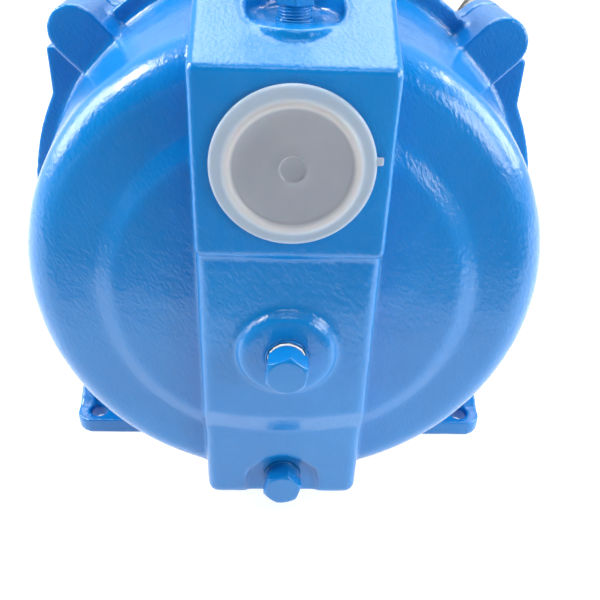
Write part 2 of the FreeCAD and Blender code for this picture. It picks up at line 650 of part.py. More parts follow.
def motor_bracket():
    """The plate that closes the casing, with an open lantern behind it that carries the motor."""
    plate_front = "mate_y + gasket"
    lantern = turned([
        (plate_front, "recess_rad"), (plate_front, "flange_rad"), ("bracket_back", "flange_rad"),
        ("bracket_back", "lantern_rad"), ("lantern_end", "lantern_rad"), ("lantern_end", "bracket_rad"),
        ("bracket_end", "bracket_rad"), ("bracket_end", "lantern_rad - 6"),
        ("bracket_back + 1", "lantern_rad - 6"), ("bracket_back + 1", "hub_rad"), ("hub_back", "hub_rad"),
        ("hub_back", "shaft_hole"), ("seat_back", "shaft_hole"), ("seat_back", "seat_rad"),
        ("seat_y", "seat_rad"), ("seat_y", "recess_rad"),
    ])
    deep = "bracket_back - mate_y - gasket"
    high = "2 * shoulder_z"
    shoulders = cut(block("2 * shoulder_x", deep, high, x="-shoulder_x", y=plate_front, z="-shoulder_z"),
                    rod("flange_rad - 20", "20", y="mate_y"))
    arms = []
    for first in (45, 135):
        bar = block("2 * ear_pitch", deep, "2 * ear_half")
        direction = Rotation(Vector(0, 1, 0), -first)
        half = f"ear_pitch * cos({first}) - ear_half * sin({first})"
        lift = f"ear_pitch * sin({first}) + ear_half * cos({first})"
        arms.append(put(bar, x=f"-({half})", y=plate_front, z=f"-({lift})", along=direction))
    spokes = cut(join(*arms), rod("flange_rad - 20", "20", y="mate_y"))
    tips = pin_circle("ear_pitch", EAR_ANGLES, "ear_half", deep, plate_front)
    holes = pin_circle("ear_pitch", EAR_ANGLES, "5.3", "20", "mate_y")
    holes += pin_circle("bracket_pitch", EAR_ANGLES, "4.3", "14", "lantern_end - 2")
    holes += pin_circle("diffuser_screw_pitch", SCREW_ANGLES, "2.15", "8", plate_front + " - 1")
    side_window = block("200", "24", "62", x="-100", y="bracket_back + 7", z="-31")
    drip_window = block("44", "24", "60", x="-22", y="bracket_back + 7", z="-95")
    name_part(cut(join(lantern, shoulders, spokes, *tips), side_window, drip_window, *holes), "motor_bracket")
    gasket = ring("mouth_rad + 2.5", "flange_rad - 1", "mate_y + 0.02", "mate_y + gasket - 0.02")
    name_part(gasket, "casing_gasket")

    def round_set(label, pitch, make):
        name_part(group(spread(lambda c, s: make(f"{pitch} * {c}", f"{pitch} * {s}"), EAR_ANGLES)), label)
    round_set("casing_bolts", "ear_pitch",
              lambda x, z: bolt("17", "6.4", "4.2", "30", x, "bracket_back + 2.05", z))
    round_set("casing_bolt_washers", "ear_pitch",
              lambda x, z: cut(rod("9.5", "2", x=x, y="bracket_back + 0.02", z=z),
                               rod("5.2", "4", x=x, y="bracket_back - 1", z=z)))

    def front_bolt(x, z):
        head = hex_head("13", "5.5", x=x, y="lantern_end - 7.15", z=z, along="Y")
        return join(head, rod("3.5", "17", x=x, y="lantern_end - 1.7", z=z))
    round_set("bracket_bolts", "bracket_pitch", front_bolt)
    round_set("bracket_bolt_washers", "bracket_pitch",
              lambda x, z: cut(rod("6.8", "1.6", x=x, y="lantern_end - 1.62", z=z),
                               rod("4.2", "4", x=x, y="lantern_end - 3", z=z)))


def shaft_seal():
    """Ceramic seat in a rubber cup in the bracket; carbon face, head and spring turning with the shaft."""
    name_part(ring("10.6", "13.4", "seat_y", "seat_back - 1"), "seal_seat")
    name_part(turned([
        ("seat_y + 0.4", "13.45"), ("seat_y + 0.4", "seat_rad - 0.05"),
        ("seat_back - 0.05", "seat_rad - 0.05"), ("seat_back - 0.05", "11"), ("seat_back - 0.95", "11"),
        ("seat_back - 0.95", "13.45"),
    ]), "seal_seat_cup")
    name_part(ring("9.6", "12.6", "seat_y - 3", "seat_y - 0.25"), "seal_carbon_face")
    name_part(turned([
        ("seat_y - 8", "8.05"), ("seat_y - 8", "10"), ("seat_y - 4.5", "10"), ("seat_y - 4.5", "14"),
        ("seat_y - 2.2", "14"), ("seat_y - 2.2", "12.7"), ("seat_y - 3.05", "12.7"),
        ("seat_y - 3.05", "8.05"),
    ]), "seal_head")
    coil = new_body()
    wire = circle(sketch_on(coil, "YZ_Plane"), "spring_start", "spring_rad", "wire_rad")
    spring = coil.newObject("PartDesign::AdditiveHelix", "Coil")
    spring.Profile = wire
    spring.ReferenceAxis = (wire, ["H_Axis"])
    spring.Mode = "pitch-height-angle"
    drive(spring, Pitch="spring_pitch", Height="3 * spring_pitch")
    name_part(coil, "seal_spring")
    name_part(turned([
        ("hub_back + 3", "8.05"), ("hub_back + 3", "20"), ("hub_back + 5", "20"), ("hub_back + 6", "12"),
        ("hub_back + 9", "11"), ("hub_back + 9", "8.05"),
    ]), "slinger")


# ---------------------------------------------------------------------------------------------------------
# Shaft, rotor and bearings
# ---------------------------------------------------------------------------------------------------------
BEARINGS = ("front_bearing", "rear_bearing")


def shaft_and_rotor():
    name_part(turned([
        ("diffuser_y + 9", "0"), ("diffuser_y + 9", "4"), ("impeller_back - 2", "4"),
        ("impeller_back - 2", "shaft_rad"), ("front_bearing - 2", "shaft_rad"),
        ("front_bearing - 2", "journal_rad"),
        ("front_bearing + bearing_wide + 0.05", "journal_rad"), ("front_bearing + bearing_wide + 0.05", "10"),
        ("rear_bearing - 0.05", "10"), ("rear_bearing - 0.05", "journal_rad"),
        ("rear_bearing + bearing_wide + 1", "journal_rad"), ("rear_bearing + bearing_wide + 1", "7.5"),
        ("shaft_end", "7.5"), ("shaft_end", "0"),
    ]), "motor_shaft")
    bars = range(0, 360, 20)
    core = ring("10.02", "rotor_rad", "core_front", "core_back")
    tunnels = pin_circle("rotor_bar_pitch", bars, "2.3", "core_back - core_front + 40", "core_front - 20")
    name_part(cut(core, *tunnels), "rotor_core")
    ends = [ring("24", "rotor_rad - 1", "core_front - 7", "core_front - 0.02"),
            ring("24", "rotor_rad - 1", "core_back + 0.02", "core_back + 7")]
    rods = pin_circle("rotor_bar_pitch", bars, "2.25", "core_back - core_front + 2", "core_front - 1")
    name_part(join(*ends, *rods), "rotor_cage")


def bearings():
    """Two deep-groove ball bearings: rings, eight balls each and a cage between them."""
    groove = "ball_rad + ball_gap"
    middle = "bearing_wide / 2"
    outer, inner, balls, cages = [], [], [], []
    for front in BEARINGS:
        centre = f"{front} + {middle}"
        back = f"{front} + bearing_wide"
        outer.append(cut(ring("16.4", "bearing_rad", front, back), torus("ball_pitch", groove, centre)))
        inner.append(cut(ring("bearing_bore + 0.01", "12.1", front, back),
                         torus("ball_pitch", groove, centre)))
        eight = range(0, 360, 45)
        balls += spread(lambda c, s: ball("ball_rad", x=f"ball_pitch * {c}", y=centre,
                                          z=f"ball_pitch * {s}"), eight)
        pockets = [rod("ball_rad + 0.15", "20", y=centre, along=Rotation(Vector(0, 1, 0), 90 - angle))
                   for angle in eight]
        cages.append(cut(ring("13.2", "15.3", f"{centre} - 4.2", f"{centre} + 4.2"), *pockets))
    name_part(group(outer), "bearing_outer_rings")
    name_part(group(inner), "bearing_inner_rings")
    name_part(group(balls), "bearing_balls")
    name_part(group(cages), "bearing_cages")
    name_part(ring("14", "19.5", "rear_bearing + bearing_wide + 0.1", "rear_bearing + bearing_wide + 1.3"),
              "wave_washer")


# ---------------------------------------------------------------------------------------------------------
# Motor
# ---------------------------------------------------------------------------------------------------------
def end_bells():
    spigot = "shell_rad - shell_thick - 0.05"
    seat = "bearing_rad + 0.05"
    front = turned([
        ("bell_front + 0.02", "12"), ("bell_front + 0.02", "bracket_rad"), ("front_bearing", "bracket_rad"),
        ("front_bearing", spigot), ("front_bearing + 6", spigot), ("front_bearing + 6", "64"),
        ("front_bearing + 1", "62"), ("front_bearing + 1", "26"), ("bell_back - 4", "26"),
        ("bell_back - 4", seat), ("front_bearing - 0.05", seat), ("front_bearing - 0.05", "12"),
    ])
    taps = pin_circle("bracket_pitch", EAR_ANGLES, "3.55", "9", "bell_front - 1")
    taps += pin_circle("rod_pitch", CROSS_ANGLES, "2.5", "13", "bell_front + 3")
    name_part(cut(front, *taps), "front_end_bell")
    rear = turned([
        ("shell_back - 6", "66"), ("shell_back - 6", spigot), ("shell_back + 0.05", spigot),
        ("shell_back + 0.05", "shell_rad + 1"), ("rear_bell_back - 6", "shell_rad + 1"),
        ("rear_bell_back - 6", "26"), ("rear_bell_back", "26"), ("rear_bell_back", "9"),
        ("rear_bell_back - 2.5", "9"), ("rear_bell_back - 2.5", seat), ("rear_bearing - 2", seat),
        ("rear_bearing - 2", "26"), ("rear_bell_back - 12", "26"), ("rear_bell_back - 12", "66"),
    ])
    holes = pin_circle("rod_pitch", CROSS_ANGLES, "2.8", "40", "shell_back - 8")
    holes += cowl_screw_solids("1.95", "66", "14")
    name_part(cut(rear, *holes), "rear_end_bell")


def cowl_screw_solids(radius, start, long):
    """One cylinder along each of the four radii where a screw holds the fan cowl."""
    return [rod(radius, long, x=f"({start}) * cos({angle})", y="cowl_front + 3",
                z=f"({start}) * sin({angle})", along=Rotation(Vector(0, 1, 0), 90 - angle))
            for angle in EAR_ANGLES]


def shell_and_stator():
    shell = ring("shell_rad - shell_thick", "shell_rad", "front_bearing + 0.02", "shell_back")
    lead_hole = rod("8", "20", y="box_y + 26", z="66", along="Z")
    foot_taps = [rod("2.6", "12", x=x, y="rear_foot_y + rear_foot_long / 2", z="-80", along="Z")
                 for x in ("-foot_screw_x", "foot_screw_x")]
    name_part(cut(shell, lead_hole, *foot_taps), "motor_shell")

    core = new_body()
    turn(core, [("core_front", "core_bore"), ("core_front", "core_rad"), ("core_back", "core_rad"),
                ("core_back", "core_bore")])
    slot = rectangle(sketch_on(core, "XZ_Plane", "-core_front + 1"), "44", "60", "-2.6", "2.6")
    mouth = rectangle(sketch_on(core, "XZ_Plane", "-core_front + 1"), "40", "45", "-1.2", "1.2")
    long = "core_back - core_front + 2"
    slots = [cut_through(core, slot, long), cut_through(core, mouth, long)]
    repeat_round(core, slots, 24)
    notches = pin_circle("rod_pitch", CROSS_ANGLES, "3.2", "core_back - core_front + 4", "core_front - 2")
    name_part(cut(core, *notches), "stator_core")

    coils = new_body()
    for start, side in (("core_front - 1", "-"), ("core_back + 1", "+")):
        turn(coils, [
            (start, "45"), (start, "60"), (f"{start} {side} 7", "64"),
            (f"{start} {side} winding_long + 4", "64"), (f"{start} {side} winding_long", "60"),
            (f"{start} {side} winding_long", "48"), (f"{start} {side} 12", "44.5"),
        ])
    name_part(coils, "stator_windings")


def through_bolts():
    def stud(c, s):
        x, z = f"rod_pitch * {c}", f"rod_pitch * {s}"
        head = hex_head("8", "3.5", x=x, y="rear_bell_back - 2.45", z=z, along="-Y")
        return join(head, rod("2.4", "rear_bell_back - bell_front - 10", x=x, y="bell_front + 4", z=z))
    name_part(group(spread(stud, CROSS_ANGLES)), "through_bolts")


def fan_and_cowl():
    fan = new_body()
    turn(fan, [("fan_y", "7.55"), ("fan_y", "40"), ("fan_y + 2", "40"), ("fan_y + 2", "14"),
               ("fan_y + 16", "13"), ("fan_y + 16", "7.55")])
    blade = rectangle(sketch_on(fan, "XZ_Plane", "-fan_y"), "12", "fan_rad", "-1", "1")
    vane = extrude(fan, blade, "14", backwards=True)
    repeat_round(fan, [vane], 7)
    name_part(fan, "cooling_fan")

    cowl = new_body()
    outer = "shell_rad + 1.05 + cowl_thick"
    turn(cowl, [
        ("cowl_front - 6", "shell_rad + 1.05"), ("cowl_front - 6", outer), ("cowl_back - 8", outer),
        ("cowl_back", outer + " - 9"), ("cowl_back", "0"), ("cowl_back - cowl_thick", "0"),
        ("cowl_back - cowl_thick", outer + " - 9.7"), ("cowl_back - 8.7", "shell_rad + 1.05"),
    ])
    opening = rectangle(sketch_on(cowl, "XZ_Plane", "-cowl_back + 4"), "24", "62", "-2.4", "2.4")
    cut_slot = cut_through(cowl, opening, "8")
    repeat_round(cowl, [cut_slot], 20)
    name_part(cut(cowl, *cowl_screw_solids("2", "72", "12")), "fan_cowl")
    shanks = cowl_screw_solids("1.9", "68", "10.75")
    heads = cowl_screw_solids("3.6", "shell_rad + 1.15 + cowl_thick", "2.2")
    name_part(group([join(shank, head) for shank, head in zip(shanks, heads)]), "fan_cowl_screws")


def data_plate():
    """A blank plate riveted to the side of the shell."""
    band = ring("shell_rad + 0.05", "shell_rad + 0.6", "core_front + 10", "core_front + 70")
    name_part(common(band, block("40", "80", "36", x="50", y="core_front", z="-18")), "data_plate")
    rivets = []
    for y in ("core_front + 13", "core_front + 67"):
        for tilt in (-11, 11):
            direction = Rotation(Vector(0, 1, 0), 90 - tilt)
            rivets.append(put(rod("1.4", "0.9"), x=f"(shell_rad + 0.65) * cos({tilt})", y=y,
                              z=f"(shell_rad + 0.65) * sin({tilt})", along=direction))
    name_part(group(rivets), "data_plate_rivets")


def rear_foot():
    """A bent-steel foot: base plate, two risers and a saddle under the rear of the motor."""
    plate = block("2 * rear_foot_half", "rear_foot_long", "rear_foot_thick", x="-rear_foot_half",
                  y="rear_foot_y", z="-shaft_height")
    risers = [block("rear_foot_thick", "rear_foot_long", "shaft_height - 67", x=x, y="rear_foot_y",
                    z="-shaft_height") for x in ("-riser_x", "riser_x - rear_foot_thick")]
    saddle = common(ring("shell_rad + 0.1", "shell_rad + 3.4", "rear_foot_y", "rear_foot_y + rear_foot_long"),
                    block("2 * riser_x", "rear_foot_long", "30", x="-riser_x", y="rear_foot_y", z="-84"))
    middle = "rear_foot_y + rear_foot_long / 2"
    slots = []
    for side in ("", "-"):
        for shift in ("-4", "4"):
            slots.append(rod("3.5", "10", x=f"{side}rear_slot + {shift}", y=middle, z="-shaft_height - 2",
                             along="Z"))
        slots.append(block("8", "7", "10", x=f"{side}rear_slot - 4", y=f"{middle} - 3.5",
                           z="-shaft_height - 2"))
    sides = ("-foot_screw_x", "foot_screw_x")
    holes = [rod("3.2", "14", x=x, y=middle, z="-86", along="Z") for x in sides]
    name_part(cut(join(plate, saddle, *risers), *slots, *holes), "motor_foot")
    screws = [join(hex_head("10", "4", x=x, y=middle, z="-84.5", along="Z"),
                   rod("2.5", "13", x=x, y=middle, z="-81", along="Z")) for x in sides]
    name_part(group(screws), "motor_foot_screws")


# ---------------------------------------------------------------------------------------------------------
# Terminal box
# ---------------------------------------------------------------------------------------------------------
def rounded_tray(wide_half, front, long, low, high, radius):
    """A block with rounded upright edges."""
    body = new_body()
    profile = rectangle(sketch_on(body, "XY_Plane", low), f"-({wide_half})", wide_half, front,
                        f"{front} + {long}")
    feature = extrude(body, profile, f"{high} - ({low})")

    def upright(edge):
        return all(spans(edge, axis)[1] - spans(edge, axis)[0] < 0.1 for axis in (0, 1))
    round_edges(body, feature, upright, radius)
    return body


def terminal_box():
    """A box on top of the shell for the capacitor and the terminals, with its cover and its cable gland."""
    floor = "shell_rad + 3"
    outside = rounded_tray("box_half", "box_y", "box_long", "60", "box_top", "box_round")
    inside = rounded_tray("box_half - box_wall", "box_y + box_wall", "box_long - 2 * box_wall", floor,
                          "box_top + 1", "box_round - 2.5")
    corners = [(f"{side}(box_half - post_inset)", y) for side in ("", "-")
               for y in ("box_y + post_inset", "box_y + box_long - post_inset")]

    def at_corners(radius, low, high):
        return [rod(radius, f"{high} - ({low})", x=x, y=y, z=low, along="Z") for x, y in corners]
    posts = at_corners("post_rad", "100", "box_top")
    tapped = at_corners("1.7", "box_top - 13", "box_top + 1")
    gland_hole = rod("8.1", "12", x="-box_half - 4", y="gland_y", z="gland_z", along="X")
    lead_hole = rod("7", "20", y="box_y + 26", z="70", along="Z")
    shell_space = rod("shell_rad + 0.05", "200", y="box_y - 40")
    hollow = join(cut(outside, inside, shell_space, lead_hole, gland_hole), *posts)
    name_part(cut(hollow, *tapped), "terminal_box")

    seal = cut(rounded_tray("box_half", "box_y", "box_long", "box_top + 0.02", "box_top + 1.2", "box_round"),
               rounded_tray("box_half - 14", "box_y + 14", "box_long - 28", "box_top - 2", "box_top + 4",
                            "3"),
               *at_corners("2.3", "box_top - 3", "box_top + 5"))
    name_part(seal, "terminal_box_gasket")
    lid = rounded_tray("box_half + 1", "box_y - 1", "box_long + 2", "box_top + 1.25", "cover_top",
                       "box_round + 1")

    def around_top(edge):
        return lies_at(edge, 2, number("cover_top"))
    round_edges(lid, lid.Tip, around_top, "2.5")
    wells = at_corners("4.2", "cover_top - 2", "cover_top + 4")
    clear = at_corners("2.2", "box_top - 2", "cover_top + 4")
    name_part(cut(lid, *wells, *clear), "terminal_box_cover")
    heads = at_corners("3.8", "cover_top - 1.95", "cover_top + 0.05")
    shanks = at_corners("1.65", "box_top - 10", "cover_top - 1")
    name_part(group([join(head, shank) for head, shank in zip(heads, shanks)]), "terminal_cover_screws")

    name_part(join(block("22", "56", "9", x="-box_half + 9", y="box_y + 19", z=floor + " + 0.05"),
                   *[block("14", "6", "5", x="-box_half + 13", y=f"box_y + {step}", z=floor + " + 8")
                     for step in (22, 33, 44, 55, 66)]), "terminal_block")
    axis = floor + " + capacitor_rad + 0.1"
    name_part(join(rod("capacitor_rad", "capacitor_long", x="18", y="box_y + 15.5", z=axis),
                   rod("11", "3", x="18", y="box_y + 13", z=axis)), "run_capacitor")


def cable_gland():
    """The gland on the left of the box: body, sealing ring, domed nut, and a locknut inside the wall."""
    def piece(make, *sizes, out):
        """A solid on the gland's axis, starting the given distance outside the wall and running outwards."""
        return make(*sizes, x=f"-box_half - ({out})", y="gland_y", z="gland_z", along="-X")
    body = join(piece(hexagon, "22", "5", out="0.05"), piece(rod, "8", "9", out="-8.9"),
                piece(rod, "9", "7", out="5"))
    name_part(cut(body, piece(rod, "7", "24", out="-10")), "cable_gland_body")
    dome = join(piece(hexagon, "21", "7", out="6"), piece(cone, "9.8", "7.6", "4", out="13"))
    name_part(cut(dome, piece(rod, "9.1", "6.4", out="5.9"), piece(rod, "6.2", "20", out="5")),
              "cable_gland_nut")
    name_part(cut(piece(rod, "6.1", "16", out="0.8"), piece(rod, "gland_bore", "20", out="-1")),
              "cable_gland_seal")
    locknut = piece(hexagon, "22", "3.4", out="-(box_wall + 3.5)")
    name_part(cut(locknut, piece(rod, "8.05", "8", out="-8")), "cable_gland_locknut")


for build in (pump_casing, plugs, caps, ejector, diffuser, impeller, motor_bracket, shaft_seal,
              shaft_and_rotor, bearings, end_bells, shell_and_stator, through_bolts, fan_and_cowl, data_plate,
              rear_foot, terminal_box, cable_gland):
    build()
doc.recompute()

for item in doc.Objects:
    if {"Invalid", "Error"} & set(item.State):
        raise RuntimeError(f"{item.Name} failed: {item.getStatusString()}")
for label, item in nodes.items():
    if item.Shape.isNull() or not item.Shape.isValid():
        raise RuntimeError(f"{label} has no valid shape")

os.makedirs("parts", exist_ok=True)
for label, item in nodes.items():
    item.Shape.exportStep(f"parts/{label}.step")
print(len(nodes), "sub-parts written")
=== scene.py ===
import bmesh
import bpy
import json
import math
import numpy as np
from mathutils import Matrix, Vector, noise


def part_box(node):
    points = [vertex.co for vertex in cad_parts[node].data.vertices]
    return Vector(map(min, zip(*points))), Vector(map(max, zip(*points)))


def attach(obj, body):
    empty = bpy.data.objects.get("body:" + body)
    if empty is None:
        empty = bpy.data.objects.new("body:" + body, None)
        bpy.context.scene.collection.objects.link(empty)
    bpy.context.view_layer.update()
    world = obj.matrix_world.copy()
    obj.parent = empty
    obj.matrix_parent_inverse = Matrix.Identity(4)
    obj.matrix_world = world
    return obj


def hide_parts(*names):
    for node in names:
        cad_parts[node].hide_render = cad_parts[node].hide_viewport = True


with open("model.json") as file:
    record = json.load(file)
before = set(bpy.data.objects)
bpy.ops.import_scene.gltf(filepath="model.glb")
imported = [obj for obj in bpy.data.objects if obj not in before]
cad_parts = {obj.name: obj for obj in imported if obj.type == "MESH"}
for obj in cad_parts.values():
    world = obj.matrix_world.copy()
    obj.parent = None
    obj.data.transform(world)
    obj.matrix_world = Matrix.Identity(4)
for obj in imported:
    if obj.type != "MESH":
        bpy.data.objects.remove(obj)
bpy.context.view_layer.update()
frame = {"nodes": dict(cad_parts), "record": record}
nodes = frame["nodes"]

PUMP = "pump_and_motor"
MM = 0.001
SHAFT_HEIGHT = 0.112
SUCTION_FACE = -0.0742


# ---------------------------------------------------------------------------------------------------------
# Camera, light and floor
# ---------------------------------------------------------------------------------------------------------
def add_camera():
    """The reference view: close to the pump end, looking down at it by 32 degrees."""
    pitch, yaw, roll = 0.56375, 0.04899, -0.04118
    forward = Vector((math.sin(yaw) * math.cos(pitch), math.cos(yaw) * math.cos(pitch), -math.sin(pitch)))
    side = Vector((math.cos(yaw), -math.sin(yaw), 0))
    down = forward.cross(side)
    right = side * math.cos(roll) + down * math.sin(roll)
    below = down * math.cos(roll) - side * math.sin(roll)
    data = bpy.data.cameras.new("camera")
    data.sensor_width = 36
    data.lens = 43.49
    data.clip_start = 0.01
    camera = bpy.data.objects.new("camera", data)
    turn = Matrix((right, -below, -forward)).transposed().to_4x4()
    camera.matrix_world = Matrix.Translation((-0.00631, -0.28376, 0.25507)) @ turn
    bpy.context.scene.collection.objects.link(camera)
    bpy.context.scene.camera = camera


def add_softbox(name, place, aim, wide, high, watts, colour=(1, 1, 1)):
    data = bpy.data.lights.new(name, "AREA")
    data.shape = "RECTANGLE"
    data.size = wide
    data.size_y = high
    data.energy = watts
    data.color = colour
    light = bpy.data.objects.new(name, data)
    light.location = place
    light.rotation_euler = (Vector(aim) - Vector(place)).to_track_quat("-Z", "Y").to_euler()
    bpy.context.scene.collection.objects.link(light)


def add_world():
    """A white room that is darker towards the side the viewer stands on."""
    world = bpy.data.worlds.new("studio")
    bpy.context.scene.world = world
    world.use_nodes = True
    tree = world.node_tree
    background = tree.nodes["Background"]
    coords = tree.nodes.new("ShaderNodeTexCoord")
    split = tree.nodes.new("ShaderNodeSeparateXYZ")
    ramp = tree.nodes.new("ShaderNodeMapRange")
    mix = tree.nodes.new("ShaderNodeMix")
    mix.data_type = "RGBA"
    ramp.inputs["From Min"].default_value = -0.45
    ramp.inputs["From Max"].default_value = 0.25
    mix.inputs["A"].default_value = (0.02, 0.022, 0.025, 1)
    mix.inputs["B"].default_value = (1.0, 1.0, 1.0, 1)
    tree.links.new(coords.outputs["Generated"], split.inputs[0])
    tree.links.new(split.outputs["Y"], ramp.inputs["Value"])
    tree.links.new(ramp.outputs["Result"], mix.inputs["Factor"])
    tree.links.new(mix.outputs["Result"], background.inputs["Color"])
    background.inputs["Strength"].default_value = 0.7


def add_floor(finish):
    floor = new_mesh("floor", [(-12, -12, 0), (12, -12, 0), (12, 12, 0), (-12, 12, 0)], [(0, 1, 2, 3)])
    floor.data.materials.append(finish)


def add_dark_card(finish):
    """A black card on the floor in front, seen in reflections only, as studios use to deepen gloss paint."""
    half, front, back, height = 1.5, -3, -0.235, 0.002
    corners = [(-half, front, height), (half, front, height), (half, back, height), (-half, back, height)]
    card = new_mesh("dark_card", corners, [(0, 1, 2, 3)])
    card.data.materials.append(finish)
    card.visible_camera = False
    card.visible_diffuse = False
    card.visible_shadow = False
    card.visible_transmission = False


# ---------------------------------------------------------------------------------------------------------
# Mesh helpers
# ---------------------------------------------------------------------------------------------------------
def new_mesh(name, points, faces):
    mesh = bpy.data.meshes.new(name)
    mesh.from_pydata([tuple(point) for point in points], [], faces)
    mesh.update()
    piece = bpy.data.objects.new(name, mesh)
    bpy.context.scene.collection.objects.link(piece)
    return piece


def smooth_shading(piece):
    piece.data.polygons.foreach_set("use_smooth", [True] * len(piece.data.polygons))
    return piece


def apply_modifiers(piece):
    """Replace the piece's mesh by the result of its modifiers."""
    graph = bpy.context.evaluated_depsgraph_get()
    result = bpy.data.meshes.new_from_object(piece.evaluated_get(graph))
    piece.modifiers.clear()
    piece.data = result
    return piece


def soft_copy(node, name, voxel, passes):
    """A CAD node's surface on an even grid, edges and corners softened as paint and casting do."""
    source = nodes[node].data
    piece = new_mesh(name, [v.co for v in source.vertices], [tuple(p.vertices) for p in source.polygons])
    work = bmesh.new()
    work.from_mesh(piece.data)
    bmesh.ops.remove_doubles(work, verts=work.verts, dist=0.000001)
    work.to_mesh(piece.data)
    work.free()
    remesh = piece.modifiers.new("grid", "REMESH")
    remesh.mode = "VOXEL"
    remesh.voxel_size = voxel
    soften = piece.modifiers.new("soften", "SMOOTH")
    soften.factor = 0.5
    soften.iterations = passes
    return smooth_shading(apply_modifiers(piece))


def lathe(name, profile, centre, axis, steps=144):
    """A closed profile of (distance along the axis, radius) points in mm, turned about an axis."""
    axis = Vector(axis)
    first = axis.orthogonal().normalized()
    second = axis.cross(first)
    points, faces = [], []
    count = len(profile)
    for step in range(steps):
        angle = 2 * math.pi * step / steps
        out = first * math.cos(angle) + second * math.sin(angle)
        for along, radius in profile:
            points.append(Vector(centre) + axis * along * MM + out * radius * MM)
    for step in range(steps):
        here, there = step * count, (step + 1) % steps * count
        for index in range(count):
            following = (index + 1) % count
            faces.append((here + index, here + following, there + following, there + index))
    piece = new_mesh(name, points, faces)
    work = bmesh.new()
    work.from_mesh(piece.data)
    bmesh.ops.remove_doubles(work, verts=work.verts, dist=0.0000001)
    bmesh.ops.dissolve_degenerate(work, edges=work.edges, dist=0.0000001)
    bmesh.ops.recalc_face_normals(work, faces=work.faces)
    work.to_mesh(piece.data)
    work.free()
    return smooth_shading(piece)


# ---------------------------------------------------------------------------------------------------------
# Materials
# ---------------------------------------------------------------------------------------------------------
class Finish:
    """A node material: a principled surface, object coordinates and a growing stack of bumps."""

    def __init__(self, name, colour, roughness=0.5, **inputs):
        self.material = bpy.data.materials.new(name)
        self.material.use_nodes = True
        self.tree = self.material.node_tree
        self.surface = self.tree.nodes["Principled BSDF"]
        self.surface.inputs["Base Color"].default_value = (*colour, 1)
        self.surface.inputs["Roughness"].default_value = roughness
        for key, value in inputs.items():
            self.surface.inputs[key.replace("_", " ")].default_value = value
        self.place = self.add("ShaderNodeTexCoord").outputs["Object"]
        self.normal = None

    def add(self, kind, **sockets):
        node = self.tree.nodes.new(kind)
        for key, value in sockets.items():
            self.feed(node.inputs[key.replace("_", " ")], value)
        return node

    def feed(self, socket, value):
        if isinstance(value, bpy.types.NodeSocket):
            self.tree.links.new(value, socket)
        else:
            socket.default_value = value

    def noise(self, scale, detail=2.0, roughness=0.5, stretch=None, lean=0.0):
        place = self.place
        if lean:
            place = self.add("ShaderNodeMapping", Vector=place, Rotation=(0, lean, 0)).outputs[0]
        if stretch:
            place = self.add("ShaderNodeMapping", Vector=place, Scale=stretch).outputs[0]
        return self.add("ShaderNodeTexNoise", Vector=place, Scale=scale, Detail=detail,
                        Roughness=roughness).outputs["Fac"]

    def cells(self, scale, feature="F1"):
        node = self.add("ShaderNodeTexVoronoi", Vector=self.place, Scale=scale)
        node.feature = feature
        return node.outputs["Distance"]

    def bands(self, scale, direction, distortion=0.0):
        node = self.add("ShaderNodeTexWave", Vector=self.place, Scale=scale, Distortion=distortion)
        node.bands_direction = direction
        return node.outputs["Fac"]

    def remap(self, value, low, high, to_low=0.0, to_high=1.0):
        return self.add("ShaderNodeMapRange", Value=value, From_Min=low, From_Max=high, To_Min=to_low,
                        To_Max=to_high).outputs["Result"]

    def times(self, first, second):
        node = self.add("ShaderNodeMath")
        node.operation = "MULTIPLY"
        self.feed(node.inputs[0], first)
        self.feed(node.inputs[1], second)
        return node.outputs[0]

    def blend(self, factor, first, second):
        node = self.tree.nodes.new("ShaderNodeMix")
        node.data_type = "RGBA"
        self.feed(node.inputs["Factor"], factor)
        for socket, value in ((node.inputs["A"], first), (node.inputs["B"], second)):
            self.feed(socket, (*value, 1) if isinstance(value, tuple) else value)
        return node.outputs["Result"]

    def colour(self, value):
        self.feed(self.surface.inputs["Base Color"], value)
        return self

    def roughness(self, value):
        self.feed(self.surface.inputs["Roughness"], value)
        return self

    def edges(self, radius):
        """Rounded edges, seen in the shading only."""
        node = self.add("ShaderNodeBevel", Radius=radius)
        node.samples = 6
        self.normal = node.outputs[0]
        self.feed(self.surface.inputs["Normal"], self.normal)
        return self

    def bump(self, height, strength, depth):
        node = self.add("ShaderNodeBump", Height=height, Strength=strength, Distance=depth)
        if self.normal:
            self.feed(node.inputs["Normal"], self.normal)
        self.normal = node.outputs[0]
        self.feed(self.surface.inputs["Normal"], self.normal)
        return self

    def exposed(self, low, high):
        """How far a point stands out on an edge, from 0 to 1."""
        node = self.add("ShaderNodeNewGeometry")
        return self.remap(node.outputs["Pointiness"], low, high)


BLUE = (0.004, 0.195, 0.545)
BLUE_DEEP = (0.002, 0.165, 0.49)
# Pale blue for lightened edges: part worn paint, part painted highlight.
BLUE_PALE = (0.12, 0.42, 0.80)


def blue_enamel(name, peel=1.0, wear_and_highlight=0.5):
    """Gloss blue enamel over sand-cast iron: orange peel, leaning streaks, and edges lightened towards pale
    blue, part worn paint and part painted highlight.
    """
    streak_stretch, streak_lean = (1, 1, 0.5), 0.44
    finish = Finish(name, BLUE, 0.2, Coat_Weight=0.25, Coat_Roughness=0.08)
    cloud = finish.noise(18, 3)
    tone = finish.blend(finish.remap(cloud, 0.3, 0.7), BLUE_DEEP, BLUE)
    # Edges lightened in speckles towards pale blue: part worn paint, part a painted highlight on the rounded
    # edges.
    speck = finish.remap(finish.noise(900, 2), 0.52, 0.72)
    edge = finish.times(finish.exposed(0.60, 0.72), speck)
    finish.colour(finish.blend(finish.times(edge, wear_and_highlight), tone, BLUE_PALE))
    finish.roughness(finish.remap(finish.noise(260, 3), 0.3, 0.7, 0.15, 0.24))
    finish.bump(finish.noise(170, 2), 0.3 * peel, 0.0005)
    streaks = finish.noise(900, 2, 0.55, stretch=streak_stretch, lean=streak_lean)
    finish.bump(streaks, 0.55 * peel, 0.0004)
    return finish.material


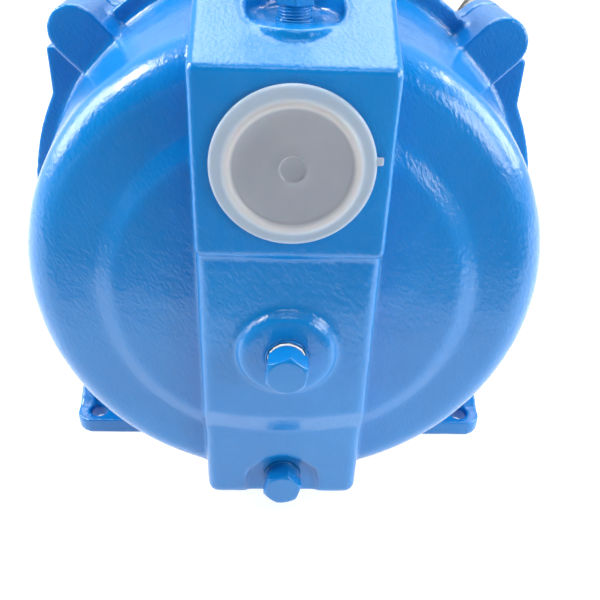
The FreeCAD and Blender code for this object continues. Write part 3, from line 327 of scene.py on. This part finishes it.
def metal(name, colour, roughness, grain=None, scale=600, edge=0.0003):
    """Bare metal with a fine grain, drawn out along the machining direction where there is one."""
    finish = Finish(name, colour, roughness, Metallic=1.0)
    texture = finish.noise(scale, 4, 0.6, stretch=grain)
    darker = tuple(0.72 * part for part in colour)
    finish.colour(finish.blend(finish.remap(texture, 0.3, 0.7), darker, colour))
    finish.roughness(finish.remap(finish.noise(90, 3), 0.3, 0.7, 0.75 * roughness, 1.25 * roughness))
    finish.edges(edge)
    finish.bump(texture, 0.25, 0.0001)
    return finish


def plastic(name, colour, roughness, grain=1400, depth=0.00006, edge=0.0004, **inputs):
    """Moulded plastic with a spark-eroded grain and slightly uneven gloss."""
    finish = Finish(name, colour, roughness, **inputs)
    shade = tuple(min(1.0, 1.35 * part + 0.004) for part in colour)
    finish.colour(finish.blend(finish.remap(finish.noise(45, 3), 0.3, 0.7), colour, shade))
    finish.roughness(finish.remap(finish.noise(300, 3), 0.3, 0.7, 0.8 * roughness, 1.15 * roughness))
    finish.edges(edge)
    finish.bump(finish.noise(grain, 2), 0.5, depth)
    return finish


def cap_finish(name):
    """Natural polyethylene: cloudy, waxy and a little see-through."""
    cap = Finish(name, (0.70, 0.74, 0.80), 0.34, Subsurface_Weight=0.15, Subsurface_Scale=0.003,
                 Transmission_Weight=0.5, IOR=1.5)
    cap.colour(cap.blend(cap.remap(cap.noise(60, 4), 0.25, 0.75), (0.64, 0.67, 0.73), (0.74, 0.78, 0.84)))
    cap.roughness(cap.remap(cap.noise(35, 4), 0.3, 0.7, 0.28, 0.44))
    return cap.bump(cap.noise(90, 4), 0.35, 0.0004)


def painted_light_cap_rings(cap, corners):
    """The suction port's cap in painted light: grey over the open port as painted shade of the dark port
    behind it, whiter on its ridge as a painted highlight, bluer over the paint as painted light of the blue
    paint seen through it.
    """
    low, high = corners
    middle = cap.add("ShaderNodeMapping", Vector=cap.place, Scale=(1, 0, 1),
                     Location=(0, 0, -(low.z + high.z) / 2)).outputs[0]
    reach = cap.add("ShaderNodeVectorMath", Vector=middle)
    reach.operation = "LENGTH"
    radius = reach.outputs["Value"]
    cloud = cap.remap(cap.noise(60, 4), 0.25, 0.75)
    # Painted shade: the disc over the open port is darkened to grey.
    port_painted_shade = cap.blend(cloud, (0.46, 0.50, 0.58), (0.54, 0.58, 0.65))
    # Painted highlight: the ridge is whitened.
    ridge_painted_highlight = cap.blend(cap.remap(radius, 0.0185, 0.0197), port_painted_shade, (0.86, 0.87, 0.90))
    # Painted light of the blue paint seen through the cap: the rim is tinted bluer.
    cap.colour(cap.blend(cap.remap(radius, 0.0205, 0.0222), ridge_painted_highlight, (0.58, 0.72, 0.86)))
    return cap


def make_finishes():
    """One finish for each of the record's material slots."""
    made = {"blue_cast_iron": blue_enamel("blue_cast_iron"),
            "blue_plugs": blue_enamel("blue_plugs", 0.45, 0.3)}
    made["clear_caps"] = cap_finish("clear_caps").material
    made["cap_over_paint"] = painted_light_cap_rings(cap_finish("cap_over_paint"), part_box("suction_cap")).material
    # Full edge lightening for paint over tape and sealant: part worn paint, part painted highlight.
    painted = blue_enamel("painted_tape", 0.6, 1.0)
    made["painted_tape"] = painted
    tape = plastic("seal_tape", (0.86, 0.87, 0.88), 0.55, grain=2600, depth=0.0001)
    made["seal_tape"] = tape.bump(tape.bands(700, "DIAGONAL", 2.0), 0.5, 0.0001).material
    made["glass_filled_nylon"] = plastic("glass_filled_nylon", (0.012, 0.012, 0.013), 0.48).material
    made["brass_parts"] = metal("brass_parts", (0.62, 0.42, 0.14), 0.28, (1, 12, 1)).material
    rubber = plastic("black_rubber", (0.012, 0.012, 0.012), 0.75, grain=900, depth=0.0001)
    made["black_rubber"] = rubber.material
    paper = plastic("gasket_paper", (0.14, 0.11, 0.07), 0.9, grain=1800, depth=0.00012)
    made["gasket_paper"] = paper.bump(paper.cells(1500), 0.4, 0.00008).material
    zinc = metal("zinc_fasteners", (0.62, 0.62, 0.56), 0.3, scale=350)
    zinc.colour(zinc.blend(zinc.remap(zinc.cells(380), 0.1, 0.6), (0.66, 0.64, 0.52), (0.60, 0.62, 0.60)))
    made["zinc_fasteners"] = zinc.material
    ceramic = plastic("ceramic_white", (0.82, 0.79, 0.72), 0.18, grain=700, depth=0.00002)
    made["ceramic_white"] = ceramic.material
    made["carbon"] = metal("carbon", (0.05, 0.05, 0.055), 0.4).material
    made["stainless"] = metal("stainless", (0.60, 0.60, 0.60), 0.26, (1, 14, 1)).material
    made["bearing_steel"] = metal("bearing_steel", (0.68, 0.68, 0.69), 0.12, (1, 9, 1)).material
    core = metal("electrical_steel", (0.20, 0.20, 0.21), 0.45)
    made["electrical_steel"] = core.bump(core.bands(320, "Y"), 0.7, 0.0002).material
    cast = metal("cast_aluminium", (0.55, 0.56, 0.57), 0.5, scale=260)
    made["cast_aluminium"] = cast.bump(cast.noise(700, 3), 0.6, 0.0002).material
    copper = metal("copper_windings", (0.50, 0.16, 0.055), 0.32, scale=500)
    made["copper_windings"] = copper.bump(copper.bands(180, "DIAGONAL", 3.0), 0.9, 0.0006).material
    shell = Finish("black_shell", (0.012, 0.012, 0.013), 0.38, Coat_Weight=0.2)
    shell_cloud = shell.remap(shell.noise(30, 3), 0.3, 0.7)
    shell.colour(shell.blend(shell_cloud, (0.010, 0.010, 0.011), (0.020, 0.020, 0.021)))
    shell.roughness(shell.remap(shell.noise(200, 3), 0.3, 0.7, 0.3, 0.46))
    made["black_shell"] = shell.edges(0.0006).bump(shell.noise(650, 3), 0.4, 0.0002).material
    made["black_plastic"] = plastic("black_plastic", (0.014, 0.014, 0.015), 0.45).material
    made["plate_aluminium"] = metal("plate_aluminium", (0.66, 0.66, 0.67), 0.3, (1, 1, 30), 220).material
    made["capacitor_case"] = plastic("capacitor_case", (0.72, 0.72, 0.70), 0.35).material
    made["terminal_plastic"] = plastic("terminal_plastic", (0.55, 0.50, 0.38), 0.4).material
    return made


# ---------------------------------------------------------------------------------------------------------
# Pieces
# ---------------------------------------------------------------------------------------------------------
def finish_piece(piece, slot, body, *replaced, look=None):
    """Give a piece its finish and its body, and hide the CAD nodes it stands in for."""
    piece.data.materials.clear()
    piece.data.materials.append(finishes[look or slot])
    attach(piece, body)
    if replaced:
        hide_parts(*replaced)
    return piece


def paint_cad_nodes():
    for entry in frame["record"]["subparts"]:
        mesh = nodes[entry["node"]].data
        for index in range(max(1, len(mesh.materials))):
            if index < len(mesh.materials):
                mesh.materials[index] = finishes[entry["material_slot"]]
            else:
                mesh.materials.append(finishes[entry["material_slot"]])


def roughen(piece, node, size, depth):
    """Move a cast surface in and out a little, as sand moulds leave it, inside the node's own box."""
    mesh = piece.data
    count = len(mesh.vertices)
    places = np.empty(3 * count)
    normals = np.empty(3 * count)
    mesh.vertices.foreach_get("co", places)
    mesh.vertex_normals.foreach_get("vector", normals)
    places = places.reshape(-1, 3)
    offsets = np.array([noise.noise(Vector(place)) for place in places / size])
    places += normals.reshape(-1, 3) * offsets[:, None] * depth
    places = np.clip(places, *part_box(node))
    mesh.vertices.foreach_set("co", places.ravel())
    mesh.update()


def cast_parts():
    casing = soft_copy("pump_casing", "casting_casing", 0.0010, 7)
    roughen(casing, "pump_casing", 0.011, 0.00012)
    finish_piece(casing, "blue_cast_iron", PUMP, "pump_casing")
    bracket = soft_copy("motor_bracket", "casting_bracket", 0.0012, 6)
    roughen(bracket, "motor_bracket", 0.011, 0.00012)
    finish_piece(bracket, "blue_cast_iron", PUMP, "motor_bracket")


def threaded_rod(name, start, axis, length, radius, depth, pitch, steps=72):
    """The outside of a screw thread: a tube whose radius follows a helix, with closed ends."""
    axis = Vector(axis)
    first = axis.orthogonal().normalized()
    second = axis.cross(first)
    rows = int(length / pitch * 12) + 1
    points = []
    for row in range(rows):
        along = length * row / (rows - 1)
        for step in range(steps):
            angle = 2 * math.pi * step / steps
            phase = (along / pitch - step / steps) % 1
            reach = radius + depth * (1 - abs(2 * phase - 1)) ** 0.8
            out = first * math.cos(angle) + second * math.sin(angle)
            points.append(Vector(start) + axis * along * MM + out * reach * MM)
    faces = [tuple(reversed(range(steps))), tuple(range((rows - 1) * steps, rows * steps))]
    for row in range(rows - 1):
        for step in range(steps):
            here, there = row * steps + step, row * steps + (step + 1) % steps
            faces.append((here, there, there + steps, here + steps))
    return smooth_shading(new_mesh(name, points, faces))


def bead(name, centre, axis, radius, thickness, uneven):
    """A ring of sealant squeezed out round a thread: a torus whose height and width wander."""
    axis = Vector(axis)
    first = axis.orthogonal().normalized()
    second = axis.cross(first)
    steps, sides = 96, 12
    points, faces = [], []
    for step in range(steps):
        angle = 2 * math.pi * step / steps
        out = first * math.cos(angle) + second * math.sin(angle)
        size = thickness * (1 + uneven * noise.noise(out * 2.3 + axis * radius))
        for side in range(sides):
            turn = 2 * math.pi * side / sides
            reach = radius + size * math.cos(turn)
            lift = size * 0.8 * math.sin(turn)
            points.append(Vector(centre) + out * reach * MM + axis * lift * MM)
            after = step * sides + (side + 1) % sides
            beyond = (after + sides) % (steps * sides)
            here = step * sides + side
            faces.append((here, after, beyond, (here + sides) % (steps * sides)))
    return smooth_shading(new_mesh(name, points, faces))


def wound_tape(name, start, long, inner, outer):
    """Sealing tape wound on a thread: an open-ended sleeve with ragged ends and slightly lifted edges."""
    steps, rows = 120, 8
    points = []
    for row in range(rows + 1):
        share = row / rows
        for step in range(steps):
            angle = 2 * math.pi * step / steps
            out = Vector((math.cos(angle), 0, math.sin(angle)))
            rag = 0.35 * noise.noise(out * 3.1) + 0.2 * noise.noise(out * 9.7)
            along = long * share + rag * (1 - 2 * share)
            reach = outer + 0.22 * noise.noise(out * 4 + Vector((0, 5 * share, 0)))
            points.append(Vector(start) + Vector((0, along * MM, 0)) + out * reach * MM)
    for row in (rows, 0):
        for step in range(steps):
            angle = 2 * math.pi * step / steps
            out = Vector((math.cos(angle), 0, math.sin(angle)))
            points.append(Vector(start) + Vector((0, long * row / rows * MM, 0)) + out * inner * MM)
    faces = []
    rings = rows + 3
    for ring in range(rings):
        following = (ring + 1) % rings
        for step in range(steps):
            beside = (step + 1) % steps
            faces.append((ring * steps + step, ring * steps + beside, following * steps + beside,
                          following * steps + step))
    return smooth_shading(new_mesh(name, points, faces))


def plugs():
    for node in ("nozzle_access_plug", "drain_plug", "vent_plug"):
        plug = soft_copy(node, "painted_" + node, 0.00024, 2)
        finish_piece(plug, "blue_plugs", PUMP, node)
    low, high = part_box("vent_plug")
    middle = (low + high) / 2
    boss_top = SHAFT_HEIGHT + 0.097
    along_y, along_z = (0, 1, 0), (0, 0, 1)
    thread_radius, thread_depth, thread_pitch = 4.75, 0.55, 0.94
    thread = threaded_rod("vent_thread", (middle.x, middle.y, boss_top - 0.001), along_z, 5.4, thread_radius,
                          thread_depth, thread_pitch)
    finish_piece(thread, "blue_plugs", PUMP)
    seal = bead("vent_sealant", (middle.x, middle.y, boss_top + 0.0001), along_z, 5.3, 0.55, 0.8)
    finish_piece(seal, "blue_plugs", PUMP, look="painted_tape")
    pad_face = SUCTION_FACE - 0.0006
    drain_floor = SUCTION_FACE + 0.0136
    upper_height, drain_height = SHAFT_HEIGHT - 0.0142, SHAFT_HEIGHT - 0.0868
    upper = wound_tape("tape_upper", (0, pad_face - 0.0033 + 0.0019, upper_height), 1.2, 6.7, 6.85)
    finish_piece(upper, "seal_tape", PUMP, "thread_seal_tape")
    lower = wound_tape("tape_lower", (0, drain_floor - 0.0016, drain_height), 0.9, 6.5, 6.75)
    finish_piece(lower, "blue_plugs", PUMP, look="painted_tape")
    for name, face, height, radius in (("upper_sealant", pad_face, upper_height, 7.5),
                                       ("drain_sealant", drain_floor, drain_height, 6.9)):
        ring = bead(name, (0, face, height), along_y, radius, 0.4, 0.9)
        finish_piece(ring, "blue_plugs", PUMP, look="painted_tape")


CAP_FACE = [
    (-1.75, 0), (-1.75, 3.6), (-1.85, 3.95), (-2.35, 4.2), (-2.4, 4.5), (-2.2, 4.9), (-2.05, 8), (-2.05, 14),
    (-2.1, 18.3), (-2.3, 18.9), (-2.85, 19.5), (-3.05, 20.1), (-3.05, 20.7), (-2.8, 21.4), (-2.35, 22.0),
    (-2.2, 22.8), (-2.3, 24.0), (-2.3, 24.8), (-2.0, 25.5), (-1.4, 25.85), (-0.8, 25.85), (-0.3, 25.5),
    (-0.06, 25.0), (-0.06, 20.5), (0.3, 20.1), (4, 19.95), (13.6, 19.6), (14, 19.2), (14, 18.4), (13.6, 18.1), (1, 18.5),
    (-0.4, 18.2), (-0.8, 17.6), (-0.8, 5), (-0.8, 0),
]


def scaled_profile(profile, ratio):
    """The same profile for a cap of another radius, its thickness unchanged."""
    return [(along, radius * ratio) for along, radius in profile]


def caps():
    low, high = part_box("suction_cap")
    centre = (0, high.y - 0.014, (low.z + high.z) / 2)
    front = lathe("cap_front", CAP_FACE, centre, (0, 1, 0))
    nib_low = (0.0252, centre[1] - 0.0019, centre[2] + 0.0016)
    nib_high = (0.0277, centre[1] - 0.0003, centre[2] + 0.0040)
    nib = rounded_block("cap_nib", nib_low, nib_high, 0.0004)
    finish_piece(front, "clear_caps", "suction_cap", "suction_cap", look="cap_over_paint")
    finish_piece(nib, "clear_caps", "suction_cap", look="cap_over_paint")
    low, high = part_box("discharge_cap")
    middle = (low + high) / 2
    base = low.z + 0.014
    ratio = (high.x - low.x) / 2 / 0.0259
    top = lathe("cap_top", scaled_profile(CAP_FACE, ratio), (middle.x, middle.y, base), (0, 0, -1))
    finish_piece(top, "clear_caps", "discharge_cap", "discharge_cap")


def rounded_block(name, low, high, radius):
    """A small moulded block with rounded edges."""
    piece = new_mesh(name, [], [])
    work = bmesh.new()
    bmesh.ops.create_cube(work, size=1)
    for vertex in work.verts:
        vertex.co = Vector([(a + b) / 2 + part * (b - a) for a, b, part in zip(low, high, vertex.co)])
    bmesh.ops.bevel(work, geom=work.edges, offset=radius, segments=3, affect="EDGES", profile=0.5)
    work.to_mesh(piece.data)
    work.free()
    return smooth_shading(piece)


finishes = make_finishes()
floor_finish = plastic("floor_card", (0.5, 0.5, 0.5), 0.6, grain=300, depth=0.00005, Emission_Strength=0.72,
                       Emission_Color=(1, 1, 1, 1))
floor_finish.colour(floor_finish.blend(floor_finish.noise(6, 2), (0.49, 0.49, 0.49), (0.51, 0.51, 0.51)))

add_camera()
add_world()
add_floor(floor_finish.material)
add_dark_card(plastic("card_black", (0.01, 0.01, 0.011), 0.9).material)
add_softbox("left_box", (-0.80, 0.05, 0.42), (0, 0, 0.12), 0.45, 0.4, 4.5)
add_softbox("right_box", (0.80, 0.02, 0.42), (0, 0, 0.12), 0.45, 0.4, 4.5)
add_softbox("top_left", (-0.235, 0.12, 1.05), (-0.235, 0.12, 0), 0.37, 0.7, 4.5)
add_softbox("top_right", (0.235, 0.12, 1.05), (0.235, 0.12, 0), 0.37, 0.7, 4.5)
add_softbox("right_fill", (0.80, -0.55, 0.40), (0, 0, 0.1), 0.4, 0.4, 4.2)
add_softbox("front_fill", (0.10, -0.80, 1.10), (0, 0, 0.1), 0.6, 0.4, 2.1)
add_softbox("left_glint", (-0.54, -0.06, 0.60), (0, 0, 0.15), 0.24, 0.14, 3.2)
add_softbox("right_glint", (0.55, 0.05, 0.60), (0, 0, 0.15), 0.16, 0.05, 0.8)
add_softbox("back_wash", (0, 2.6, 2.4), (0, 1.6, 0), 3.0, 1.5, 50)
bpy.context.scene.view_settings.view_transform = "Standard"

paint_cad_nodes()
cast_parts()
plugs()
caps()
